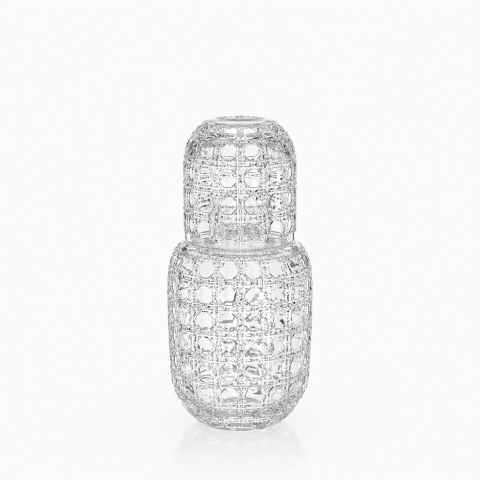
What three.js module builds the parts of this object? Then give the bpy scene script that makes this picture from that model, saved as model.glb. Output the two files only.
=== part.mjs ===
// Bedside water carafe with a tumbler that stands upside down over its neck, both in clear glass.
// Carafe and tumbler carry the same cane-work cut: octagonal buttons between pairs of upright and level
// grooves, with slanting grooves that cross halfway between the buttons, as in a woven cane seat.
// Millimetres, +Z up, origin at the centre of the carafe's foot.

import * as THREE from "three";
import { mergeVertices } from "three/addons/utils/BufferGeometryUtils.js";

// Carafe body, outside
const bodyRadius = 47.5; // widest, where the side meets the shoulder
const sideTaper = 2.2; // how much narrower the side is at the heel
const footRadius = 23.5; // outer edge of the face that it stands on
const heelHeight = 30; // height of the curve from the foot to the side
const sideHeight = 60.3;
const shoulderRise = 32.5;
const heelHandle = 0.36; // share of the heel's size in its curve handles: under 0.55 is flatter than an arc
const shoulderHandle = 0.73;

// Carafe neck and inside
const neckRadius = 21;
const neckFillet = 3.5; // hollow curve between shoulder and neck
const neckHeight = 25; // from the shoulder's top to the mouth
const neckWall = 3.4;
const bodyWall = 4.6;
const floorThickness = 9;
const puntRadius = 15; // shallow hollow under the foot
const puntDepth = 1.6;

// Tumbler, measured as it stands upright on its own foot
const tumblerRadius = 36.7;
const tumblerHeight = 78.1;
const tumblerFootRadius = 17.9;
const cornerHeight = 28; // height of the curve from the foot to the side
const cornerHandle = 0.5;
const tumblerWall = 4.2;
const tumblerFloor = 9;
const lipHeight = 5.6; // plain lip above the cut
const lipSetback = 1.1; // how far the lip stands in from the side
const lipThickness = 3.3;
const tumblerPuntRadius = 16.4;
const tumblerPuntDepth = 1.4;

// How the tumbler sits on the shoulder
const seatGap = 0.3;
const seatWidth = 5.2; // plain glass between the tumbler's lip and the first groove

// Cane-work cut
const carafeColumns = 18;
const tumblerColumns = 14;
const carafeTurn = THREE.MathUtils.degToRad(1.2); // of the columns about the axis
const tumblerTurn = THREE.MathUtils.degToRad(-0.5); // the same, seen with the tumbler upright
const rowPitch = 16.9; // height of one cell on the straight side
const bandWidth = 3.5; // from groove to groove of a pair
const slantReach = 0.53; // where a slanting groove meets a button's middle lines, in cells off its centre
const cutDepth = 0.9;
const buttonDepth = 0.25; // of an octagonal button's top, below the uncut outside
const bevelWidth = 1; // sloping side of a button
const cornerDepth = 0.15; // of the points at a cell's four corners, below the uncut outside
const smallCell = 15.5; // a cell narrower than this has flat corners without points
const footMargin = 5.7; // plain glass between the carafe's foot and the last groove
const crownMargin = 4.7; // plain glass between the tumbler's foot and the first groove

// Facets
const flankSteps = 240; // points on the outside curve that the cut is measured along
const curveSteps = 3; // rings along each curve of an inside
const plainSteps = 2; // rings on a foot's hollow and on the plain top of the shoulder
const arcFacet = Math.PI / 3; // turn of one ring on a fillet or a round edge
const plainPerColumn = 2; // upright edges of plain glass for each column of the cut
const cavityPerColumn = 1; // the same for the carafe's inside, which shows only through the neck

const clearGlass = () =>
  new THREE.MeshStandardMaterial({
    color: 0xf4f8f8,
    roughness: 0.04,
    metalness: 0,
    transparent: true,
    opacity: 0.35,
  });

// Outside curve of a vessel from foot to neck or lip, measured along its length.
// Besides its length it has a turn count, the integral of length over radius: equal steps of turn, up and
// round, make cells that stay square where the vessel narrows.
class Flank {
  constructor(path) {
    this.points = path.getSpacedPoints(flankSteps);
    this.lengths = [0];
    this.turns = [0];
    for (let i = 1; i < this.points.length; i++) {
      const [a, b] = [this.points[i - 1], this.points[i]];
      const step = a.distanceTo(b);
      this.lengths.push(this.lengths[i - 1] + step);
      this.turns.push(this.turns[i - 1] + (2 * step) / (a.x + b.x));
    }
    this.length = this.lengths.at(-1);
  }

  // Index and share of the step that holds value in a rising list.
  static locate(list, value) {
    const found = list.findIndex((x) => x > value);
    const i = Math.min(Math.max(found < 0 ? list.length - 1 : found, 1), list.length - 1);
    return [i, (value - list[i - 1]) / (list[i] - list[i - 1])];
  }

  turnAt(length) {
    const [i, share] = Flank.locate(this.lengths, length);
    return THREE.MathUtils.lerp(this.turns[i - 1], this.turns[i], share);
  }

  lengthAt(turn) {
    const [i, share] = Flank.locate(this.turns, turn);
    return THREE.MathUtils.lerp(this.lengths[i - 1], this.lengths[i], share);
  }

  // Radius and height of the point at this length, sunk below the outside by depth.
  at(length, depth = 0) {
    const [i, share] = Flank.locate(this.lengths, length);
    const [a, b] = [this.points[i - 1], this.points[i]];
    const along = b.clone().sub(a).normalize();
    return a.clone().lerp(b, share).add(new THREE.Vector2(-along.y, along.x).multiplyScalar(depth));
  }
}

const around = (point, angle) =>
  new THREE.Vector3(point.x * Math.cos(angle), point.x * Math.sin(angle), point.y);

// Closed surface made of triangles, built ring by ring along a vessel's profile.
class Skin {
  constructor() {
    this.corners = [];
  }

  triangle(a, b, c) {
    this.corners.push(a, b, c);
  }

  // A level ring through a profile point. A point on the axis is a ring of one corner.
  ring(point, count) {
    const angles = Array.from({ length: point.x > 0 ? count : 1 }, (_, i) => ((i + 0.5) * 2 * Math.PI) / count);
    return angles.map((angle) => ({ angle, corner: around(point, angle) }));
  }

  // Joins two rings, the second further along the profile, whatever their counts.
  stitch(low, high) {
    const turned = (ring, i) => ring[i % ring.length].angle + 2 * Math.PI * Math.floor(i / ring.length);
    const corner = (ring, i) => ring[i % ring.length].corner;
    const lowEnd = low.length > 1 ? low.length : 0;
    const highEnd = high.length > 1 ? high.length : 0;
    let [i, j] = [0, 0];
    while (i < lowEnd || j < highEnd) {
      const lowNext = i < lowEnd && (j >= highEnd || turned(low, i + 1) <= turned(high, j + 1));
      if (lowNext) {
        this.triangle(corner(low, i), corner(low, i + 1), corner(high, j));
        i++;
      } else {
        this.triangle(corner(low, i), corner(high, j + 1), corner(high, j));
        j++;
      }
    }
  }

  // Rings along a list of profile points, joined to the ring before them. Returns the last ring.
  sweep(points, count, before = null) {
    let last = before;
    for (const point of points) {
      const next = this.ring(point, count);
      if (last) this.stitch(last, next);
      last = next;
    }
    return last;
  }

  geometry() {
    const positions = this.corners.flatMap((corner) => corner.toArray());
    const loose = new THREE.BufferGeometry();
    loose.setAttribute("position", new THREE.Float32BufferAttribute(positions, 3));
    const welded = mergeVertices(loose, 1e-3);
    welded.computeVertexNormals();
    return welded;
  }
}

// The cane-work cut on a flank between two lengths. Cell coordinates run from -0.5 to 0.5 each way, with a
// button in the middle. Every groove lies cutDepth below the outside. The cut starts at the lower groove of
// the first row and stops at the upper groove of the last row or, with lastBand, of the band above it.
// Returns the first and the last ring.
function caneCut(skin, flank, from, to, columns, radius, lastBand) {
  const cell = (2 * Math.PI) / columns;
  const edge = 0.5 - bandWidth / (2 * radius * cell); // upright and level grooves, off the button's centre
  const halfBand = 0.5 - edge;
  const notch = slantReach - edge; // where the slanting grooves meet the others, off the button's centre
  const span = flank.turnAt(to) - flank.turnAt(from);
  const missing = lastBand ? 0 : 2 * halfBand; // of the last row's height
  const rows = Math.round((span * radius) / rowPitch + missing);
  const rise = span / (rows - missing);
  const top = 1 - bevelWidth / (edge * radius * cell);

  const lengthOf = (row, y) => flank.lengthAt(flank.turnAt(from) + (row + y + edge) * rise);
  const place = (column, row, [x, y], lift = 0) =>
    around(flank.at(lengthOf(row, y), cutDepth - lift), (column + x) * cell);
  const isSmall = (row) => flank.at(lengthOf(row, 0)).x * cell < smallCell;

  const octagon = [
    [edge, -notch], [edge, notch], [notch, edge], [-notch, edge],
    [-edge, notch], [-edge, -notch], [-notch, -edge], [notch, -edge],
  ];
  const turnedAbout = (x0, y0, quarter, shape) =>
    shape.map(([x, y]) => {
      for (let q = 0; q < quarter; q++) [x, y] = [-y, x];
      return [x0 + x, y0 + y];
    });
  const cornerTriangle = [[edge, notch], [edge, edge], [notch, edge]];
  // Pieces of the strip between two grooves of a pair, about the point where the slanting grooves cross.
  const house = [[0, 0], [halfBand, notch], [halfBand, edge], [-halfBand, edge], [-halfBand, notch]];
  const wedge = [[0, 0], [halfBand, -notch], [halfBand, notch]];
  const stud = [[-halfBand, -halfBand], [halfBand, -halfBand], [halfBand, halfBand], [-halfBand, halfBand]];

  // Flat-topped button with sloping sides.
  const button = (column, row) => {
    const foot = octagon.map((p) => place(column, row, p));
    const head = octagon.map(([x, y]) => place(column, row, [x * top, y * top], cutDepth - buttonDepth));
    foot.forEach((corner, i) => {
      const next = (i + 1) % foot.length;
      skin.triangle(corner, foot[next], head[next]);
      skin.triangle(corner, head[next], head[i]);
    });
    // The middle strip and the two sides bend round the vessel with it.
    for (const [a, b, c, d] of [[2, 3, 6, 7], [0, 1, 2, 7], [3, 4, 5, 6]]) {
      skin.triangle(head[a], head[b], head[c]);
      skin.triangle(head[a], head[c], head[d]);
    }
  };

  const flat = (column, row, shape) => {
    const corners = shape.map((p) => place(column, row, p));
    for (let i = 2; i < corners.length; i++) skin.triangle(corners[0], corners[i - 1], corners[i]);
  };

  // Shallow point over the shape's middle, depth below the outside.
  const pointed = (column, row, shape, depth = 0) => {
    const corners = shape.map((p) => place(column, row, p));
    const middle = [0, 1].map((k) => shape.reduce((sum, p) => sum + p[k], 0) / shape.length);
    const apex = place(column, row, middle, cutDepth - depth);
    corners.forEach((corner, i) => skin.triangle(corner, corners[(i + 1) % corners.length], apex));
  };

  for (let column = 0; column < columns; column++) {
    for (let row = 0; row < rows; row++) {
      button(column, row);
      const corner = isSmall(row) ? flat : pointed;
      for (let q = 0; q < 4; q++) corner(column, row, turnedAbout(0, 0, q, cornerTriangle), cornerDepth);
      for (const q of [0, 2]) {
        pointed(column, row, turnedAbout(0.5, 0, q, house));
        flat(column, row, turnedAbout(0.5, 0, q, wedge));
      }
      if (row === rows - 1 && !lastBand) continue;
      for (const q of [1, 3]) {
        pointed(column, row, turnedAbout(0, 0.5, q, house));
        flat(column, row, turnedAbout(0, 0.5, q, wedge));
      }
      pointed(column, row, turnedAbout(0.5, 0.5, 0, stud));
    }
  }

  const grooveRing = (row, y) =>
    Array.from({ length: columns }, (_, column) =>
      [-edge, -notch, notch, edge].map((x) => ({
        angle: (column + x + 0.5) * cell,
        corner: place(column, row, [x, y]),
      })),
    ).flat();
  return [grooveRing(0, -edge), grooveRing(rows - 1, lastBand ? 1 - edge : edge)];
}

// A curve from a, which it leaves sideways, to b, which it reaches along the direction end.
function sweptCorner(path, a, b, end, handle) {
  const reach = end.clone().multiplyScalar(-handle * Math.abs(b.y - a.y)).add(b);
  path.bezierCurveTo(a.x + handle * (b.x - a.x), a.y, reach.x, reach.y, b.x, b.y);
}

const upward = new THREE.Vector2(0, 1);
const point = (x, y) => new THREE.Vector2(x, y);

const shoulderHeight = heelHeight + sideHeight;
const collarHeight = shoulderHeight + shoulderRise;
const mouthHeight = collarHeight + neckHeight;

// Foot, heel, side and shoulder as one curve. inset moves it into the glass, floor and roof set its ends.
function bodyPath(foot, floor, inset, collar, roof) {
  const heel = point(bodyRadius - sideTaper - inset, heelHeight);
  const shoulder = point(bodyRadius - inset, shoulderHeight);
  const middle = point(bodyRadius - inset, (heel.y + shoulder.y) / 2);
  const path = new THREE.Path().moveTo(foot, floor);
  sweptCorner(path, point(foot, floor), heel, middle.clone().sub(heel).normalize(), heelHandle);
  path.quadraticCurveTo(middle.x, middle.y, shoulder.x, shoulder.y);
  path.bezierCurveTo(
    shoulder.x, shoulder.y + shoulderHandle * (roof - shoulder.y),
    collar + shoulderHandle * (shoulder.x - collar), roof,
    collar, roof,
  );
  return path;
}

const bodyFlank = new Flank(bodyPath(footRadius, 0, 0, neckRadius + neckFillet, collarHeight));

// Where the tumbler's rounded lip comes to rest on the shoulder: the lowest centre of its round edge that
// keeps seatGap to every point of the body.
const lipRound = lipThickness / 2;
const lipMiddle = tumblerRadius - lipSetback - lipRound;
const lipReach = lipRound + seatGap;
const seat = bodyFlank.points
  .map((p, i) => ({ length: bodyFlank.lengths[i], off: Math.abs(p.x - lipMiddle), y: p.y }))
  .filter((p) => p.off < lipReach)
  .map((p) => ({ length: p.length, height: p.y + Math.sqrt(lipReach ** 2 - p.off ** 2) }))
  .reduce((best, p) => (p.height > best.height ? p : best));
const rimHeight = seat.height - lipRound;

// Points on an arc, one for each arcFacet of its turn. An end below the start turns clockwise.
const arc = (x, y, radius, start, end) =>
  new THREE.EllipseCurve(x, y, radius, radius, start, end, end < start).getPoints(
    Math.round(Math.abs(end - start) / arcFacet),
  );

// Underside of a foot, from the axis outwards: a shallow hollow, then the flat ring that it stands on.
function footPoints(hollowRadius, hollowDepth, radius) {
  const hollow = new THREE.Path().moveTo(0, hollowDepth);
  hollow.quadraticCurveTo(hollowRadius / 2, hollowDepth, hollowRadius, 0);
  return [...hollow.getPoints(plainSteps), point(radius, 0)];
}

function carafe() {
  const skin = new Skin();
  const count = plainPerColumn * carafeColumns;
  const cutEnd = seat.length - lipRound - seatWidth;

  const foot = skin.sweep(footPoints(puntRadius, puntDepth, footRadius), count);
  const heel = skin.sweep([bodyFlank.at(footMargin - cutDepth)], count, foot);
  const [first, last] = caneCut(skin, bodyFlank, footMargin, cutEnd, carafeColumns, bodyRadius, true);
  skin.stitch(heel, first);

  // Plain shoulder, neck and rounded mouth.
  const plainStart = cutEnd + cutDepth;
  const plainStep = (bodyFlank.length - plainStart) / plainSteps;
  const mouthRound = neckWall / 2;
  const outside = [
    ...Array.from({ length: plainSteps }, (_, i) => bodyFlank.at(plainStart + i * plainStep)),
    ...arc(neckRadius + neckFillet, collarHeight + neckFillet, neckFillet, -Math.PI / 2, -Math.PI),
    ...arc(neckRadius - mouthRound, mouthHeight - mouthRound, mouthRound, 0, Math.PI),
  ];

  // Inside, from the neck's bore down to the floor.
  const bore = neckRadius - neckWall;
  const innerFillet = neckFillet + bodyWall / 2;
  const roof = collarHeight - bodyWall;
  const inner = bodyPath(footRadius - bodyWall / 2, floorThickness, bodyWall, bore + innerFillet, roof);
  const throat = arc(bore + innerFillet, roof + innerFillet, innerFillet, -Math.PI, -Math.PI / 2);
  const cavity = [...inner.getPoints(curveSteps).reverse().slice(1), point(0, floorThickness)];
  const neck = skin.sweep([...outside, ...throat], count, last);
  skin.sweep(cavity, cavityPerColumn * carafeColumns, neck);
  return skin.geometry();
}

function tumbler() {
  const skin = new Skin();
  const count = plainPerColumn * tumblerColumns;
  const lipBase = tumblerHeight - lipHeight;

  const side = new THREE.Path().moveTo(tumblerFootRadius, 0);
  sweptCorner(side, point(tumblerFootRadius, 0), point(tumblerRadius, cornerHeight), upward, cornerHandle);
  side.lineTo(tumblerRadius, lipBase);
  const flank = new Flank(side);

  const foot = skin.sweep(footPoints(tumblerPuntRadius, tumblerPuntDepth, tumblerFootRadius), count);
  const heel = skin.sweep([flank.at(crownMargin - cutDepth)], count, foot);
  const [first, last] = caneCut(skin, flank, crownMargin, flank.length, tumblerColumns, tumblerRadius, false);
  skin.stitch(heel, first);

  // Plain lip with a round edge, then the smooth inside down to the floor.
  const lip = [
    point(tumblerRadius - lipSetback, lipBase + lipSetback),
    ...arc(lipMiddle, tumblerHeight - lipRound, lipRound, 0, Math.PI),
  ];
  const bore = tumblerRadius - tumblerWall;
  const innerFoot = point(tumblerFootRadius - tumblerWall / 2, tumblerFloor);
  const inner = new THREE.Path().moveTo(innerFoot.x, innerFoot.y);
  sweptCorner(inner, innerFoot, point(bore, cornerHeight + tumblerWall), upward, cornerHandle);
  inner.lineTo(bore, lipBase);
  skin.sweep([...lip, ...inner.getPoints(curveSteps).reverse(), point(0, tumblerFloor)], count, last);
  return skin.geometry();
}

const set = new THREE.Group();

const carafeMesh = new THREE.Mesh(carafe(), clearGlass());
carafeMesh.name = "carafe";
carafeMesh.rotation.z = carafeTurn;
set.add(carafeMesh);

// The tumbler is turned over, so that its lip faces down onto the shoulder.
const tumblerMesh = new THREE.Mesh(tumbler(), clearGlass());
tumblerMesh.name = "tumbler";
tumblerMesh.rotation.set(Math.PI, 0, tumblerTurn);
tumblerMesh.position.z = rimHeight + tumblerHeight;
set.add(tumblerMesh);

export default set;
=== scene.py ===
"""Dresses a bedside carafe and the tumbler upturned over its neck, in clear glass with a cane-work cut.

Sizes are in millimetres, as a glassmaker's drawing gives them, and become metres where a mesh is built.
"""

import logging
import math
from dataclasses import dataclass, field
from enum import Enum

import bmesh
import bpy
import numpy as np
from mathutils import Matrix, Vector


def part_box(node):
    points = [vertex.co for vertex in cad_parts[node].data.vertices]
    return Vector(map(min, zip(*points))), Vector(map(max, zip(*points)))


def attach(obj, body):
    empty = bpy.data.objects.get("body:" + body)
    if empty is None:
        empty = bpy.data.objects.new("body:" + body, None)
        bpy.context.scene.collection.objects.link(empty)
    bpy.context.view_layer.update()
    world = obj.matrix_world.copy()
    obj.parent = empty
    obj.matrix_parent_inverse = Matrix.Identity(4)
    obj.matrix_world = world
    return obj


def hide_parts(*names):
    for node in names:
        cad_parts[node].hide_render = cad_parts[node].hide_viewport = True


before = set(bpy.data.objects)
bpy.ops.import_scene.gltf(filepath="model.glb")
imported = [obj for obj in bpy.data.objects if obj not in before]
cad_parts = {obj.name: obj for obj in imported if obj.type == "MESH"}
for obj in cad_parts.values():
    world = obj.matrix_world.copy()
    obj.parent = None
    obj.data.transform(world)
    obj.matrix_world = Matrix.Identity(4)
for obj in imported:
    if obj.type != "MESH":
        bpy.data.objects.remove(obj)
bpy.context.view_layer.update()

MM = 0.001
IMAGE_PIXELS = 480
WELD_MM = 0.004  # closer points are one point
SMOOTH_DEGREES = 18.0  # sharper edges stay sharp
CELL_WELD = 1e-5  # closer points of neighbouring cells are one point, in cells
SCORE_TOLERANCE = 1e-6  # how close to a cut a point lies on it, in cells
HEEL_STEPS = 4  # rings of plain glass between the cut and the foot's edge
PUNT_STEPS = 10  # rings of the hollow under a foot
CURVE_STEPS = 40  # points of a curved stretch of an outside or inside
RIM_TOLERANCE = 1e-4  # how close to a button's rim a point belongs to the button, in cells
NO_BOUNCE = 0.5  # a count of bounces below this is none
WHITE = (1.0, 1.0, 1.0, 1.0)

log = logging.getLogger("carafe")


class End(Enum):
    """Where the cane-work cut stops above its last row of buttons."""

    BUTTON = "at the upper groove of the buttons"
    BAND = "at the upper groove of the band above the buttons"


def linear(hex_colour: str) -> tuple[float, float, float, float]:
    """Turns an sRGB hex colour into linear red, green, blue and alpha.

    Args:
        hex_colour: Colour as "#rrggbb".

    Returns:
        The linear colour with alpha 1.
    """
    parts = [int(hex_colour[i : i + 2], 16) / 255 for i in (1, 3, 5)]
    red, green, blue = (p / 12.92 if p <= 0.04045 else ((p + 0.055) / 1.055) ** 2.4 for p in parts)
    return red, green, blue, 1.0


def add_node(
    tree: bpy.types.NodeTree,
    kind: str,
    settings: dict[str, object] | None = None,
    values: dict[str | int, object] | None = None,
) -> bpy.types.Node:
    """Adds a node, sets its properties, and sets or links its inputs.

    Args:
        tree: Node tree that gets the node.
        kind: Node type, such as "ShaderNodeTexNoise".
        settings: Properties of the node by name.
        values: Inputs by name or number. An output socket is linked, anything else is set.

    Returns:
        The new node.
    """
    node = tree.nodes.new(kind)
    for name, value in (settings or {}).items():
        setattr(node, name, value)
    for name, value in (values or {}).items():
        if isinstance(value, bpy.types.NodeSocket):
            tree.links.new(value, node.inputs[name])
        else:
            node.inputs[name].default_value = value
    return node


def maths(tree: bpy.types.NodeTree, operation: str, *values: object) -> bpy.types.NodeSocket:
    """Adds a math node.

    Args:
        tree: Node tree that gets the node.
        operation: What it does, such as "MULTIPLY".
        values: Numbers or sockets for its inputs, in order.

    Returns:
        The result.
    """
    return add_node(tree, "ShaderNodeMath", {"operation": operation}, dict(enumerate(values))).outputs[0]


def ease(
    tree: bpy.types.NodeTree,
    value: bpy.types.NodeSocket,
    start: float,
    end: float,
    low: float = 0.0,
    high: float = 1.0,
) -> bpy.types.NodeSocket:
    """Adds a node that eases from one level to another.

    Args:
        tree: Node tree that gets the node.
        value: What it follows.
        start: Value where it leaves the first level.
        end: Value where it reaches the second.
        low: First level.
        high: Second level.

    Returns:
        The level.
    """
    limits = {0: value, 1: start, 2: end, 3: low, 4: high}
    return add_node(tree, "ShaderNodeMapRange", {"interpolation_type": "SMOOTHSTEP"}, limits).outputs[0]


def blend(tree: bpy.types.NodeTree, share: object, first: object, second: object) -> bpy.types.NodeSocket:
    """Adds a node that mixes two colours.

    Args:
        tree: Node tree that gets the node.
        share: Share of the second colour.
        first: First colour.
        second: Second colour.

    Returns:
        The mixed colour.
    """
    return add_node(tree, "ShaderNodeMix", {"data_type": "RGBA"}, {0: share, 6: first, 7: second}).outputs[2]


def layer(
    tree: bpy.types.NodeTree, share: object, first: bpy.types.NodeSocket, second: bpy.types.NodeSocket
) -> bpy.types.NodeSocket:
    """Adds a node that mixes two shaders.

    Args:
        tree: Node tree that gets the node.
        share: Share of the second shader.
        first: First shader.
        second: Second shader.

    Returns:
        The mixed shader.
    """
    return add_node(tree, "ShaderNodeMixShader", values={0: share, 1: first, 2: second}).outputs[0]


def new_material(name: str) -> bpy.types.Material:
    """Makes a material without nodes.

    Args:
        name: Name of the material.

    Returns:
        The material.
    """
    made = bpy.data.materials.new(name)
    made.use_nodes = True
    made.node_tree.nodes.clear()
    return made


def bezier(a: tuple, b: tuple, c: tuple, d: tuple, steps: int) -> np.ndarray:
    """Points on a cubic curve.

    Args:
        a: Start.
        b: Handle of the start.
        c: Handle of the end.
        d: End.
        steps: Number of steps.

    Returns:
        One row of radius and height for each point, both ends included.
    """
    t = np.linspace(0, 1, steps + 1)[:, None]
    a, b, c, d = (np.array(p, float) for p in (a, b, c, d))
    return (1 - t) ** 3 * a + 3 * (1 - t) ** 2 * t * b + 3 * (1 - t) * t**2 * c + t**3 * d


def arc(x: float, y: float, radius: float, start: float, end: float, steps: int) -> np.ndarray:
    """Points on an arc in the profile plane.

    Args:
        x: Centre's distance from the axis.
        y: Centre's height.
        radius: Radius of the arc.
        start: First angle in degrees, 0 pointing away from the axis and 90 up.
        end: Last angle in degrees.
        steps: Number of steps.

    Returns:
        One row of radius and height for each point, both ends included.
    """
    angles = np.radians(np.linspace(start, end, steps + 1))
    return np.stack([x + radius * np.cos(angles), y + radius * np.sin(angles)], axis=1)


class Flank:
    """Outside curve of a vessel, from its foot up, measured along its length.

    Besides length it counts turn, the sum of length over radius. Equal steps of turn up and round give cells
    that stay square where the vessel narrows.
    """

    STEPS = 600

    def __init__(self, stretches: list[np.ndarray]) -> None:
        """Joins stretches of curve and spaces their points evenly.

        Args:
            stretches: Points of each stretch, in order, the first point of one on the last of the one before.
        """
        raw = np.vstack([stretches[0], *(s[1:] for s in stretches[1:])])
        along = np.concatenate([[0], np.cumsum(np.hypot(*np.diff(raw, axis=0).T))])
        self.length = float(along[-1])
        self.lengths = np.linspace(0, self.length, self.STEPS + 1)
        self.points = np.stack([np.interp(self.lengths, along, raw[:, k]) for k in (0, 1)], axis=1)
        slopes = np.gradient(self.points, self.lengths, axis=0)
        slopes /= np.hypot(*slopes.T)[:, None]
        self.inward = np.stack([-slopes[:, 1], slopes[:, 0]], axis=1)
        steps = np.hypot(*np.diff(self.points, axis=0).T)
        radii = (self.points[1:, 0] + self.points[:-1, 0]) / 2
        self.turns = np.concatenate([[0], np.cumsum(steps / radii)])

    def turn_at(self, length: float) -> float:
        """Turn counted up to a length."""
        return float(np.interp(length, self.lengths, self.turns))

    def length_at(self, turn: np.ndarray) -> np.ndarray:
        """Lengths at which turns are reached."""
        return np.interp(turn, self.turns, self.lengths)

    def at(self, length: np.ndarray, depth: np.ndarray) -> np.ndarray:
        """Places on or under the outside.

        Args:
            length: Lengths along the curve.
            depth: How far each place lies inside the outer surface.

        Returns:
            One row of radius and height for each place.
        """
        columns = [
            np.interp(length, self.lengths, self.points[:, k])
            + depth * np.interp(length, self.lengths, self.inward[:, k])
            for k in (0, 1)
        ]
        return np.stack(columns, axis=-1)

    def plain(self, start: float, end: float, steps: int) -> np.ndarray:
        """Evenly spaced points of uncut glass, start left out and end kept."""
        return self.at(np.linspace(start, end, steps + 1)[1:], np.zeros(steps))


@dataclass(frozen=True)
class CaneCut:
    """Cane-work cut: octagonal buttons between pairs of upright and level grooves, crossed by slanting ones.

    Between the grooves, points, dashes and studs are left standing. Sizes are on the widest part of a vessel.
    """

    row_pitch: float = 16.9
    band: float = 3.5  # from groove to groove of a pair
    depth: float = 0.9
    bottom: float = 0.5  # half the width of a groove's flat bottom
    half_width: float = 1.4
    slant_reach: float = 0.53  # where a slanting groove meets a button's middle lines, in cells
    slant_bottom: float = 0.2
    slant_half_width: float = 1.1
    rim_depth: float = 0.25  # how far a button's rim lies below the uncut surface
    cushion: float = 0.2  # how far a button's middle stands above its rim
    button_lines: tuple[float, ...] = (-0.15, 0.0, 0.15)  # scored so that a button can bulge, in cells

    def edge(self, pitch: float) -> float:
        """Distance of a groove from the middle of its button, in cells."""
        return 0.5 - self.band / (2 * pitch)

    def cell(self, pitch: float) -> bpy.types.Object:
        """Models one flat cell of the cut, scored along its grooves and ridges.

        Args:
            pitch: Width of a cell in millimetres.

        Returns:
            An object one unit square about the origin, with a button in the middle.
        """
        edge = self.edge(pitch)
        bpy.ops.object.select_all(action="DESELECT")
        bpy.ops.mesh.primitive_plane_add(size=1)
        cell = bpy.context.object
        bpy.ops.object.mode_set(mode="EDIT")
        steps = [width / pitch for width in self.lines(self.bottom, self.half_width)]
        for offset in [*(side * (edge + step) for side in (-1, 1) for step in steps), *self.button_lines]:
            self.score((offset, 0), (1, 0))
            self.score((0, offset), (0, 1))
        widths = self.lines(self.slant_bottom, self.slant_half_width)
        slants = [width / pitch * math.sqrt(2) for width in widths]
        for side in (-1, 1):
            for slant in slants:
                self.score((side * (self.slant_reach + slant), 0), (1, 1))
                self.score((side * (self.slant_reach + slant), 0), (1, -1))
        bpy.ops.object.mode_set(mode="OBJECT")
        return cell

    def lines(self, bottom: float, half_width: float) -> tuple[float, ...]:
        """Places of a groove's edges off its middle line, from its button outwards."""
        return -half_width, -self.rim(bottom, half_width), -bottom, bottom, half_width

    @staticmethod
    def score(place: tuple[float, float], normal: tuple[float, float]) -> None:
        """Cuts the whole edit mesh along an upright plane through place."""
        bpy.ops.mesh.select_all(action="SELECT")
        bpy.ops.mesh.bisect(plane_co=(*place, 0), plane_no=(*normal, 0), threshold=SCORE_TOLERANCE)

    def sink(self, x: np.ndarray, y: np.ndarray, pitch: float) -> np.ndarray:
        """Depth of the cut in millimetres at places in a cell.

        Args:
            x: Places across the cell, from -0.5 to 0.5.
            y: Places up the cell, from -0.5 to 0.5.
            pitch: Width of a cell in millimetres.

        Returns:
            Depth below the uncut surface.
        """
        x, y = np.abs(x), np.abs(y)
        edge = self.edge(pitch)
        off_slant = (x + y - self.slant_reach) / math.sqrt(2) * pitch
        share = self.ramp(off_slant, self.slant_bottom, self.slant_half_width)
        for place in (x, y):
            share = np.maximum(share, self.ramp((place - edge) * pitch, self.bottom, self.half_width))
        rim = edge - self.rim(self.bottom, self.half_width) / pitch
        slant_gap = self.rim(self.slant_bottom, self.slant_half_width) / pitch * math.sqrt(2)
        slant_rim = self.slant_reach - slant_gap
        on_button = (np.maximum(x, y) < rim + RIM_TOLERANCE) & (x + y < slant_rim + RIM_TOLERANCE)
        button = self.rim_depth - self.cushion * (1 - (x**2 + y**2) / rim**2)
        return np.where(on_button, button, self.depth * share)

    def rim(self, bottom: float, half_width: float) -> float:
        """Distance of a button's rim from the middle line of a groove."""
        return half_width - (half_width - bottom) * self.rim_depth / self.depth

    @staticmethod
    def ramp(off: np.ndarray, bottom: float, half_width: float) -> np.ndarray:
        """Share of a groove's depth at distances from its middle line."""
        return np.clip((half_width - np.abs(off)) / (half_width - bottom), 0, 1)


@dataclass(frozen=True)
class PressedCrystal:
    """Clear crystal glass, pressed in a mould and fire-polished.

    Fire-polishing leaves the surface bright with faint ripples, which bend what is seen through the glass.
    The mould leaves a trace of haze in places.
    """

    name: str = "pressed_crystal_fire_polished"
    tint: str = "#ffffff"
    streak: str = "#fcfdfd"
    ior: float = 1.52
    roughness: tuple[float, float] = (0.0, 0.02)
    ripple_mm: float = 14.0
    ripple_height_mm: float = 0.05
    ripple_detail: tuple[float, float] = (1.0, 0.4)  # octaves and how strong each next one is
    haze_mm: float = 30.0
    haze_octaves: float = 3.0
    haze_range: tuple[float, float] = (0.35, 0.75)  # noise levels where haze starts and is full

    def material(self) -> bpy.types.Material:
        """Makes the material.

        Returns:
            The material.
        """
        made = new_material(self.name)
        tree = made.node_tree
        place = add_node(tree, "ShaderNodeTexCoord").outputs["Object"]
        octaves, strength = self.ripple_detail
        ripple = add_node(
            tree,
            "ShaderNodeTexNoise",
            values={
                "Vector": place,
                "Scale": 1 / (self.ripple_mm * MM),
                "Detail": octaves,
                "Roughness": strength,
            },
        )
        bump = add_node(
            tree,
            "ShaderNodeBump",
            values={"Height": ripple.outputs["Fac"], "Strength": 1.0, "Distance": self.ripple_height_mm * MM},
        )
        haze = add_node(
            tree,
            "ShaderNodeTexNoise",
            values={"Vector": place, "Scale": 1 / (self.haze_mm * MM), "Detail": self.haze_octaves},
        ).outputs["Fac"]
        rough = add_node(
            tree,
            "ShaderNodeMapRange",
            values=dict(enumerate((haze, *self.haze_range, *self.roughness))),
        )
        shader = add_node(
            tree,
            "ShaderNodeBsdfPrincipled",
            values={
                "Base Color": blend(tree, haze, linear(self.tint), linear(self.streak)),
                "Roughness": rough.outputs[0],
                "IOR": self.ior,
                "Transmission Weight": 1.0,
                "Normal": bump.outputs["Normal"],
            },
        )
        add_node(tree, "ShaderNodeOutputMaterial", values={"Surface": shader.outputs[0]})
        return made


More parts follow.
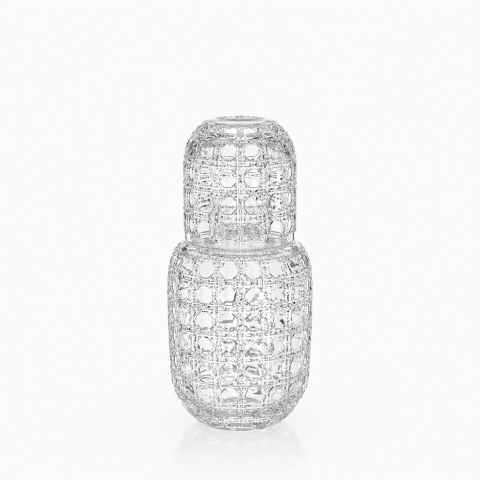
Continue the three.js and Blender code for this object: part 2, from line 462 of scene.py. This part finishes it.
@dataclass(frozen=True)
class PolishedPolycarbonate:
    """White polycarbonate sheet, lit from within and polished.

    Its own light keeps it white close to the glass, and its polish mirrors the foot faintly and softly. It
    fades out into the white around it, and is not seen through glass.
    """

    name: str = "white_polycarbonate_sheet_polished"
    colour: str = "#f9fafc"
    glow: float = 0.9  # share of its light that is its own
    roughness: float = 0.15
    ior: float = 1.6
    fade_start: float = 45.0
    fade_end: float = 125.0

    def material(self) -> bpy.types.Material:
        """Makes the material.

        Returns:
            The material.
        """
        made = new_material(self.name)
        tree = made.node_tree
        place = add_node(tree, "ShaderNodeTexCoord").outputs["Object"]
        reach = add_node(tree, "ShaderNodeVectorMath", {"operation": "LENGTH"}, {0: place}).outputs["Value"]
        fade = ease(tree, reach, self.fade_start * MM, self.fade_end * MM)
        path = add_node(tree, "ShaderNodeLightPath")
        unseen = maths(tree, "MAXIMUM", fade, path.outputs["Transmission Depth"])
        colour = linear(self.colour)
        matt = add_node(tree, "ShaderNodeBsdfDiffuse", values={"Color": colour}).outputs[0]
        light = add_node(tree, "ShaderNodeEmission", values={"Color": colour, "Strength": 1.0}).outputs[0]
        polish = add_node(
            tree, "ShaderNodeBsdfGlossy", values={"Color": colour, "Roughness": self.roughness}
        ).outputs[0]
        mirrored = add_node(tree, "ShaderNodeFresnel", values={"IOR": self.ior}).outputs[0]
        clear = add_node(tree, "ShaderNodeBsdfTransparent").outputs[0]
        sheet = layer(tree, mirrored, layer(tree, self.glow, matt, light), polish)
        surface = layer(tree, unseen, sheet, clear)
        add_node(tree, "ShaderNodeOutputMaterial", values={"Surface": surface})
        return made


@dataclass(frozen=True)
class ProtectiveFilm:
    """Clear film that comes on new sheets. It can't be seen, but rays that have met it see no dark cards."""

    name: str = "clear_protective_film"

    def material(self) -> bpy.types.Material:
        """Makes the material.

        Returns:
            The material.
        """
        made = new_material(self.name)
        clear = add_node(made.node_tree, "ShaderNodeBsdfTransparent").outputs[0]
        add_node(made.node_tree, "ShaderNodeOutputMaterial", values={"Surface": clear})
        return made


@dataclass
class Vessel:
    """A round glass vessel with a cane-work cut on its outside."""

    cut: CaneCut = field(default_factory=CaneCut)
    piece: str = "vessel_glass"
    node: str = "vessel"
    slot: str = "vessel_glass"
    columns: int = 18
    cut_end: End = End.BAND
    turned: float = 0.0  # degrees about the axis
    foot_radius: float = 20.0
    foot_round: float = 0.5  # rounding of the foot's edge
    foot_margin: float = 5.0  # plain glass along the outside, up to the cut
    punt_radius: float = 15.0  # hollow under the foot
    punt_depth: float = 1.5

    def widest(self) -> float:
        """Largest radius of the outside."""
        raise NotImplementedError

    def underside(self, flank: Flank) -> np.ndarray:
        """Profile of the plain glass below the cut, over the foot's edge and into the hollow under it.

        Args:
            flank: Outside curve.

        Returns:
            One row of radius and height for each ring, from the cut to the axis.
        """
        hollow = bezier(
            (self.punt_radius, 0),
            (self.punt_radius * 2 / 3, self.punt_depth * 2 / 3),
            (self.punt_radius / 3, self.punt_depth),
            (0, self.punt_depth),
            PUNT_STEPS,
        )
        heel = flank.plain(self.foot_margin - self.cut.half_width, self.foot_round, HEEL_STEPS)
        return np.vstack([heel, [[self.foot_radius - self.foot_round, 0]], hollow])

    def cut_skin(self, flank: Flank, start: float, stop: float) -> bpy.types.Object:
        """Models the cut part of the outside: one column is scored flat, wrapped on the flank and spun round.

        Args:
            flank: Outside curve.
            start: Length along it where the cut starts.
            stop: Length along it where the cut stops.

        Returns:
            An open skin with one ring of edges below and one above.
        """
        turn = 2 * math.pi / self.columns
        pitch = turn * self.widest()
        edge = self.cut.edge(pitch)
        missing = 0 if self.cut_end is End.BAND else 1 - 2 * edge
        span = flank.turn_at(stop) - flank.turn_at(start)
        rows = round(span * self.widest() / self.cut.row_pitch + missing)
        rise = span / (rows - missing)

        skin = self.cut.cell(pitch)
        stack = skin.modifiers.new("rows", "ARRAY")
        stack.count = rows + 1
        stack.relative_offset_displace = (0, 1, 0)
        stack.use_merge_vertices = True
        stack.merge_threshold = CELL_WELD
        bpy.ops.object.modifier_apply(modifier=stack.name)
        bpy.ops.object.mode_set(mode="EDIT")
        for height, upper in ((-edge, -1), (rows - missing - edge, 1)):
            bpy.ops.mesh.select_all(action="SELECT")
            bpy.ops.mesh.bisect(
                plane_co=(0, height, 0),
                plane_no=(0, upper, 0),
                clear_outer=True,
                threshold=SCORE_TOLERANCE,
            )
        bpy.ops.object.mode_set(mode="OBJECT")

        flat = np.empty(len(skin.data.vertices) * 3)
        skin.data.vertices.foreach_get("co", flat)
        x, y = flat.reshape(-1, 3)[:, 0], flat.reshape(-1, 3)[:, 1]
        depth = self.cut.sink(x, (y + 0.5) % 1 - 0.5, pitch)
        length = flank.length_at(flank.turn_at(start) + (y + edge) * rise)
        radius, height = flank.at(length, depth).T * MM
        angle = x * turn + math.radians(self.turned)
        wrapped = np.stack([radius * np.cos(angle), radius * np.sin(angle), height], axis=1)
        skin.data.vertices.foreach_set("co", wrapped.ravel())
        skin.data.update()

        bpy.ops.object.mode_set(mode="EDIT")
        bpy.ops.mesh.select_all(action="SELECT")
        bpy.ops.mesh.spin(
            steps=self.columns - 1,
            dupli=True,
            angle=turn * (self.columns - 1),
            center=(0, 0, 0),
            axis=(0, 0, 1),
        )
        bpy.ops.mesh.select_all(action="SELECT")
        bpy.ops.mesh.remove_doubles(threshold=WELD_MM * MM)
        bpy.ops.object.mode_set(mode="OBJECT")
        return skin

    @staticmethod
    def split_ring(skin: bpy.types.Object, upper: bool) -> bpy.types.Object:
        """Copies the open ring at one end of a skin into an object of its own.

        Args:
            skin: Open skin.
            upper: Takes the ring above, else the one below.

        Returns:
            The ring.
        """
        bpy.ops.object.select_all(action="DESELECT")
        skin.select_set(True)
        bpy.context.view_layer.objects.active = skin
        bpy.ops.object.mode_set(mode="EDIT")
        bpy.ops.mesh.select_mode(type="EDGE")
        bpy.ops.mesh.select_all(action="DESELECT")
        mesh = bmesh.from_edit_mesh(skin.data)
        heights = [v.co.z for v in mesh.verts]
        middle = (min(heights) + max(heights)) / 2
        for edge in mesh.edges:
            if edge.is_boundary and (edge.verts[0].co.z > middle) == upper:
                edge.select_set(True)
        bmesh.update_edit_mesh(skin.data)
        bpy.ops.mesh.duplicate()
        bpy.ops.mesh.separate(type="SELECTED")
        bpy.ops.object.mode_set(mode="OBJECT")
        return next(o for o in bpy.context.selected_objects if o is not skin)

    @staticmethod
    def draw_out(ring: bpy.types.Object, profile: np.ndarray) -> None:
        """Extrudes a ring through the points of a profile, and closes it where the profile meets the axis.

        Args:
            ring: Ring of edges about the axis.
            profile: One row of radius and height for each new ring, in millimetres.
        """
        bpy.ops.object.select_all(action="DESELECT")
        ring.select_set(True)
        bpy.context.view_layer.objects.active = ring
        bpy.ops.object.mode_set(mode="EDIT")
        bpy.ops.mesh.select_mode(type="EDGE")
        bpy.ops.mesh.select_all(action="SELECT")
        first = ring.data.vertices[0].co
        radius, height = math.hypot(first.x, first.y), first.z
        for next_radius, next_height in profile * MM:
            bpy.ops.mesh.extrude_edges_move(TRANSFORM_OT_translate={"value": (0, 0, next_height - height)})
            if next_radius <= 0:
                bpy.ops.mesh.merge(type="CENTER")
                break
            share = next_radius / radius
            bpy.ops.transform.resize(value=(share, share, 1), center_override=(0, 0, 0))
            radius, height = next_radius, next_height
        bpy.ops.object.mode_set(mode="OBJECT")

    def close(self, skin: bpy.types.Object, below: np.ndarray, above: np.ndarray) -> bpy.types.Object:
        """Adds the plain glass below and above the cut and welds all of it into one closed wall.

        Args:
            skin: Cut part of the outside.
            below: Profile from the cut's lower ring to the axis under the foot.
            above: Profile from the cut's upper ring over the rim and down to the axis inside.

        Returns:
            The finished vessel.
        """
        rings = [self.split_ring(skin, upper) for upper in (False, True)]
        for ring, profile in zip(rings, (below, above)):
            self.draw_out(ring, profile)
        bpy.ops.object.select_all(action="DESELECT")
        for part in (skin, *rings):
            part.select_set(True)
        bpy.context.view_layer.objects.active = skin
        bpy.ops.object.join()
        bpy.ops.object.mode_set(mode="EDIT")
        bpy.ops.mesh.select_all(action="SELECT")
        bpy.ops.mesh.remove_doubles(threshold=WELD_MM * MM)
        bpy.ops.mesh.normals_make_consistent(inside=False)
        bpy.ops.object.mode_set(mode="OBJECT")
        bpy.ops.object.shade_smooth_by_angle(angle=math.radians(SMOOTH_DEGREES))
        skin.name = skin.data.name = self.piece
        return skin

    def dress(self, vessel: bpy.types.Object, glass: bpy.types.Material) -> bpy.types.Object:
        """Gives the vessel its glass and sets it in place of its CAD node.

        Args:
            vessel: Finished mesh.
            glass: Its material.

        Returns:
            The vessel.
        """
        vessel.data.materials.clear()
        vessel.data.materials.append(glass)
        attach(vessel, self.node)
        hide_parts(self.node)
        triangles = sum(len(p.vertices) - 2 for p in vessel.data.polygons)
        log.info("%s: %d triangles", vessel.name, triangles)
        return vessel


@dataclass
class Carafe(Vessel):
    """Carafe with a cut body, a plain neck and a hollow under its foot."""

    piece: str = "carafe_glass"
    node: str = "carafe"
    slot: str = "carafe_glass"
    columns: int = 18
    cut_end: End = End.BAND
    turned: float = 1.2
    body_radius: float = 47.5
    side_taper: float = 2.2
    foot_radius: float = 23.5
    foot_round: float = 0.6
    heel_height: float = 30.0
    side_height: float = 60.3
    shoulder_rise: float = 32.5
    heel_handle: float = 0.36
    shoulder_handle: float = 0.73
    neck_radius: float = 21.0
    neck_fillet: float = 3.5
    neck_height: float = 25.0
    neck_wall: float = 3.4
    body_wall: float = 4.6
    floor_thickness: float = 9.0
    punt_radius: float = 15.0
    punt_depth: float = 1.6
    foot_margin: float = 5.7
    cut_top_radius: float = 39.5  # where the cut stops on the shoulder
    side_steps: int = 24
    shoulder_rings: int = 5  # between the cut and the neck
    fillet_rings: int = 4
    mouth_rings: int = 8
    inner_fillet_rings: int = 5
    inner_stride: int = 6  # the smooth inside takes each sixth point of its curve

    def widest(self) -> float:
        """Largest radius of the outside."""
        return self.body_radius

    def body(self, foot: float, floor: float, inset: float, collar: float, roof: float) -> list[np.ndarray]:
        """Curve from the foot over heel, side and shoulder to the collar.

        Args:
            foot: Radius where it starts.
            floor: Height where it starts.
            inset: How far it lies inside the outer surface.
            collar: Radius where it ends.
            roof: Height where it ends.

        Returns:
            Points of heel, side and shoulder.
        """
        heel = np.array([self.body_radius - self.side_taper - inset, self.heel_height])
        shoulder = np.array([self.body_radius - inset, self.heel_height + self.side_height])
        middle = np.array([shoulder[0], (heel[1] + shoulder[1]) / 2])
        up = (middle - heel) / np.linalg.norm(middle - heel)
        handle, bend = self.heel_handle, self.shoulder_handle
        return [
            bezier(
                (foot, floor),
                (foot + handle * (heel[0] - foot), floor),
                heel - handle * (heel[1] - floor) * up,
                heel,
                CURVE_STEPS,
            ),
            bezier(
                heel,
                heel + (middle - heel) * 2 / 3,
                shoulder + (middle - shoulder) * 2 / 3,
                shoulder,
                self.side_steps,
            ),
            bezier(
                shoulder,
                (shoulder[0], shoulder[1] + bend * (roof - shoulder[1])),
                (collar + bend * (shoulder[0] - collar), roof),
                (collar, roof),
                CURVE_STEPS,
            ),
        ]

    def build(self) -> bpy.types.Object:
        """Models the carafe.

        Returns:
            The carafe.
        """
        collar = self.heel_height + self.side_height + self.shoulder_rise
        mouth = collar + self.neck_height
        fillet_middle = self.neck_radius + self.neck_fillet
        flank = Flank(self.body(self.foot_radius, 0, 0, fillet_middle, collar))
        upper_half = flank.lengths > flank.length / 2
        stop = float(
            np.interp(-self.cut_top_radius, -flank.points[upper_half, 0], flank.lengths[upper_half])
        )
        skin = self.cut_skin(flank, self.foot_margin, stop)

        bore = self.neck_radius - self.neck_wall
        lip = self.neck_wall / 2
        inner_fillet = self.neck_fillet + self.body_wall / 2
        inner_middle = bore + inner_fillet
        roof = collar - self.body_wall
        inner_foot = self.foot_radius - self.body_wall / 2
        inner = np.vstack(self.body(inner_foot, self.floor_thickness, self.body_wall, inner_middle, roof))
        above = np.vstack(
            [
                flank.plain(stop + self.cut.half_width, flank.length, self.shoulder_rings),
                arc(
                    fillet_middle,
                    collar + self.neck_fillet,
                    self.neck_fillet,
                    -90,
                    -180,
                    self.fillet_rings,
                )[1:],
                arc(self.neck_radius - lip, mouth - lip, lip, 0, 180, self.mouth_rings),
                arc(inner_middle, roof + inner_fillet, inner_fillet, -180, -90, self.inner_fillet_rings),
                inner[:: -self.inner_stride][1:],
                [[0, self.floor_thickness]],
            ]
        )
        return self.close(skin, self.underside(flank), above)


@dataclass
class Tumbler(Vessel):
    """Tumbler with a cut side and a plain lip, modelled upright and then turned over."""

    piece: str = "tumbler_glass"
    node: str = "tumbler"
    slot: str = "tumbler_glass"
    columns: int = 14
    cut_end: End = End.BUTTON
    turned: float = -0.5
    radius: float = 36.7
    height: float = 78.1
    foot_radius: float = 17.9
    corner_height: float = 28.0
    corner_handle: float = 0.5
    wall: float = 4.2
    floor_thickness: float = 9.0
    lip_height: float = 5.6
    lip_setback: float = 1.1
    lip_thickness: float = 3.3
    lip_ease: tuple[float, float] = (0.1, 0.5)  # ring above the cut: out from the lip, up from the cut
    side_steps: int = 20
    lip_rings: int = 12
    bore_rings: int = 6
    inner_stride: int = 2  # the smooth inside takes each second point of its curve
    punt_radius: float = 16.4
    punt_depth: float = 1.4
    foot_margin: float = 4.7

    def widest(self) -> float:
        """Largest radius of the outside."""
        return self.radius

    def corner(self, foot: float, floor: float, side: float, top: float) -> np.ndarray:
        """Curve from the foot to the straight side.

        Args:
            foot: Radius where it starts.
            floor: Height where it starts.
            side: Radius of the side.
            top: Height where the side starts.

        Returns:
            Points of the curve.
        """
        handle = self.corner_handle
        return bezier(
            (foot, floor),
            (foot + handle * (side - foot), floor),
            (side, top - handle * (top - floor)),
            (side, top),
            CURVE_STEPS,
        )

    def build(self) -> bpy.types.Object:
        """Models the tumbler and turns it over onto the shoulder.

        Returns:
            The tumbler.
        """
        lip_base = self.height - self.lip_height
        side = np.linspace((self.radius, self.corner_height), (self.radius, lip_base), self.side_steps)
        flank = Flank([self.corner(self.foot_radius, 0, self.radius, self.corner_height), side])
        skin = self.cut_skin(flank, self.foot_margin, flank.length)

        lip_radius = self.radius - self.lip_setback
        lip_round = self.lip_thickness / 2
        bore = self.radius - self.wall
        bend = self.corner_height + self.wall
        inner = self.corner(self.foot_radius - self.wall / 2, self.floor_thickness, bore, bend)
        out, up = self.lip_ease
        above = np.vstack(
            [
                [[lip_radius + out, lip_base + up], [lip_radius, lip_base + self.lip_setback]],
                arc(lip_radius - lip_round, self.height - lip_round, lip_round, 0, 180, self.lip_rings),
                np.linspace((bore, lip_base), (bore, bend), self.bore_rings)[:-1],
                inner[:: -self.inner_stride],
                [[0, self.floor_thickness]],
            ]
        )
        tumbler = self.close(skin, self.underside(flank), above)
        tumbler.rotation_euler.x = math.pi
        tumbler.location.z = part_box(self.node)[1].z
        bpy.ops.object.transform_apply(location=True, rotation=True, scale=False)
        return tumbler


@dataclass
class Studio:
    """White floor, plain white light and a camera a little above the carafe's shoulder.

    Dark cards stand round the set, as when clear glass is photographed on white. Only the glass shows them:
    they draw its edges, while floor and backdrop stay white.
    """

    floor: PolishedPolycarbonate = field(default_factory=PolishedPolycarbonate)
    film: ProtectiveFilm = field(default_factory=ProtectiveFilm)
    film_drop: float = 0.1  # of the film below the carafe's foot, and of the floor below the film
    card: str = "#18191a"
    cards: int = 8  # upright cards, evenly spaced round the set
    card_turn: float = 3.0  # degrees
    card_edge: tuple[float, float] = (-0.8, -0.7)  # levels of a cosine: full card, and none
    side_cards: float = 1.0  # how much wider the cards at the sides are
    ring_start: tuple[float, float] = (0.19, 0.25)  # lower edge of the level card, as sines of angles up
    ring_end: tuple[float, float] = (0.7, 0.78)  # its upper edge
    ring_tone: float = 0.68  # how dark the level card is beside the others
    camera_height: float = 100.0  # level of the point that sight_angle and distance are measured from
    sight_angle: float = 13.0
    distance: float = 1400.0
    pixels_per_mm: float = 1.54
    row_of_point: float = 272.25  # picture row of that point
    sensor_width: float = 36.0
    sight_range: float = 100.0  # metres
    glass_bounces: int = 32  # rays cross many walls of glass
    mirror_bounces: int = 16
    pixel_blur: float = 1.0  # in pixels, for crisp lines

    def sheet(self, name: str, drop: float, finish: PolishedPolycarbonate | ProtectiveFilm) -> None:
        """Lays a square sheet under the set.

        Args:
            name: Name of the sheet.
            drop: How far it lies below the carafe's foot, in millimetres.
            finish: What it is made of.
        """
        bpy.ops.object.select_all(action="DESELECT")
        bpy.ops.mesh.primitive_plane_add(size=2 * self.floor.fade_end * MM, location=(0, 0, -drop * MM))
        sheet = bpy.context.object
        sheet.name = sheet.data.name = name
        sheet.data.materials.append(finish.material())

    def upright_cards(self, tree: bpy.types.NodeTree, azimuth: bpy.types.NodeSocket) -> bpy.types.NodeSocket:
        """Adds the nodes of the upright cards, which are wider to the left and right of the set.

        Args:
            tree: Node tree of the world.
            azimuth: Angle round the set.

        Returns:
            1 on a card and 0 off it.
        """
        turn = math.radians(self.cards * self.card_turn)
        wave = maths(tree, "COSINE", maths(tree, "MULTIPLY_ADD", azimuth, float(self.cards), turn))
        lobes = maths(tree, "COSINE", maths(tree, "MULTIPLY", azimuth, 2.0))
        sides = maths(tree, "MAXIMUM", lobes, 0.0)
        widened = maths(tree, "MULTIPLY_ADD", sides, -self.side_cards, wave)
        return ease(tree, widened, *self.card_edge, 1.0, 0.0)

    def level_card(self, tree: bpy.types.NodeTree, height: bpy.types.NodeSocket) -> bpy.types.NodeSocket:
        """Adds the nodes of the card that runs level round the set.

        Args:
            tree: Node tree of the world.
            height: Sine of the angle above the horizon.

        Returns:
            The card's tone on it and 0 off it.
        """
        starts = ease(tree, height, *self.ring_start)
        ends = ease(tree, height, *self.ring_end, 1.0, 0.0)
        return maths(tree, "MULTIPLY", maths(tree, "MULTIPLY", starts, ends), self.ring_tone)

    @staticmethod
    def in_glass(tree: bpy.types.NodeTree, path: bpy.types.Node) -> bpy.types.NodeSocket:
        """Adds the nodes that tell the rays which may see the cards from all others.

        Rays that went through glass may, and rays mirrored by it. Rays mirrored by the floor have met its
        film, and rays scattered by it have a diffuse bounce.

        Args:
            tree: Node tree of the world.
            path: Light path node.

        Returns:
            1 for rays that see the cards, else 0.
        """
        inside = maths(tree, "GREATER_THAN", path.outputs["Transmission Depth"], NO_BOUNCE)
        off_film = maths(tree, "LESS_THAN", path.outputs["Transparent Depth"], NO_BOUNCE)
        mirrored = maths(tree, "MULTIPLY", path.outputs["Is Glossy Ray"], off_film)
        unscattered = maths(tree, "LESS_THAN", path.outputs["Diffuse Depth"], NO_BOUNCE)
        return maths(tree, "MULTIPLY", maths(tree, "MAXIMUM", inside, mirrored), unscattered)

    def world(self) -> None:
        """Lights the set evenly in white, and sets the dark cards round it."""
        world = bpy.data.worlds.new("studio")
        bpy.context.scene.world = world
        world.use_nodes = True
        tree = world.node_tree
        tree.nodes.clear()
        direction = add_node(tree, "ShaderNodeTexCoord").outputs["Generated"]
        parts = add_node(tree, "ShaderNodeSeparateXYZ", values={0: direction}).outputs
        azimuth = maths(tree, "ARCTAN2", parts["Y"], parts["X"])
        cards = maths(tree, "MAXIMUM", self.upright_cards(tree, azimuth), self.level_card(tree, parts["Z"]))
        path = add_node(tree, "ShaderNodeLightPath")
        backdrop = blend(tree, path.outputs["Is Camera Ray"], WHITE, linear(self.floor.colour))
        around = blend(tree, cards, WHITE, linear(self.card))
        shown = blend(tree, self.in_glass(tree, path), backdrop, around)
        light = add_node(tree, "ShaderNodeBackground", values={"Color": shown, "Strength": 1.0})
        add_node(tree, "ShaderNodeOutputWorld", values={"Surface": light.outputs[0]})

    def camera(self) -> None:
        """Sets the camera so that the measured point falls on its picture row at the measured scale."""
        point = Vector((0, 0, self.camera_height * MM))
        sight = math.radians(self.sight_angle)
        back = Vector((0, -math.cos(sight), math.sin(sight)))
        data = bpy.data.cameras.new("camera")
        data.sensor_width = self.sensor_width
        focal_pixels = self.pixels_per_mm * self.distance
        data.lens = focal_pixels * data.sensor_width / IMAGE_PIXELS
        data.clip_end = self.sight_range
        camera = bpy.data.objects.new("camera", data)
        bpy.context.scene.collection.objects.link(camera)
        camera.location = point + back * self.distance * MM
        raised = math.atan((self.row_of_point - IMAGE_PIXELS / 2) / focal_pixels)
        camera.rotation_euler = (math.pi / 2 - sight + raised, 0, 0)
        bpy.context.scene.camera = camera

    def build(self) -> None:
        """Sets up floor, light and camera."""
        self.sheet("studio_floor", 2 * self.film_drop, self.floor)
        self.sheet("studio_floor_film", self.film_drop, self.film)
        self.world()
        self.camera()
        scene = bpy.context.scene
        scene.view_settings.view_transform = "Standard"
        scene.cycles.max_bounces = self.glass_bounces
        scene.cycles.transmission_bounces = self.glass_bounces
        scene.cycles.glossy_bounces = self.mirror_bounces
        scene.cycles.caustics_refractive = False
        scene.cycles.caustics_reflective = False
        scene.cycles.filter_width = self.pixel_blur


def main() -> None:
    """Builds the studio and both vessels."""
    logging.basicConfig(level=logging.INFO, format="%(name)s %(message)s")
    Studio().build()
    glass = PressedCrystal().material()
    for vessel in (Carafe(), Tumbler()):
        vessel.dress(vessel.build(), glass)


if __name__ == "__main__":
    main()
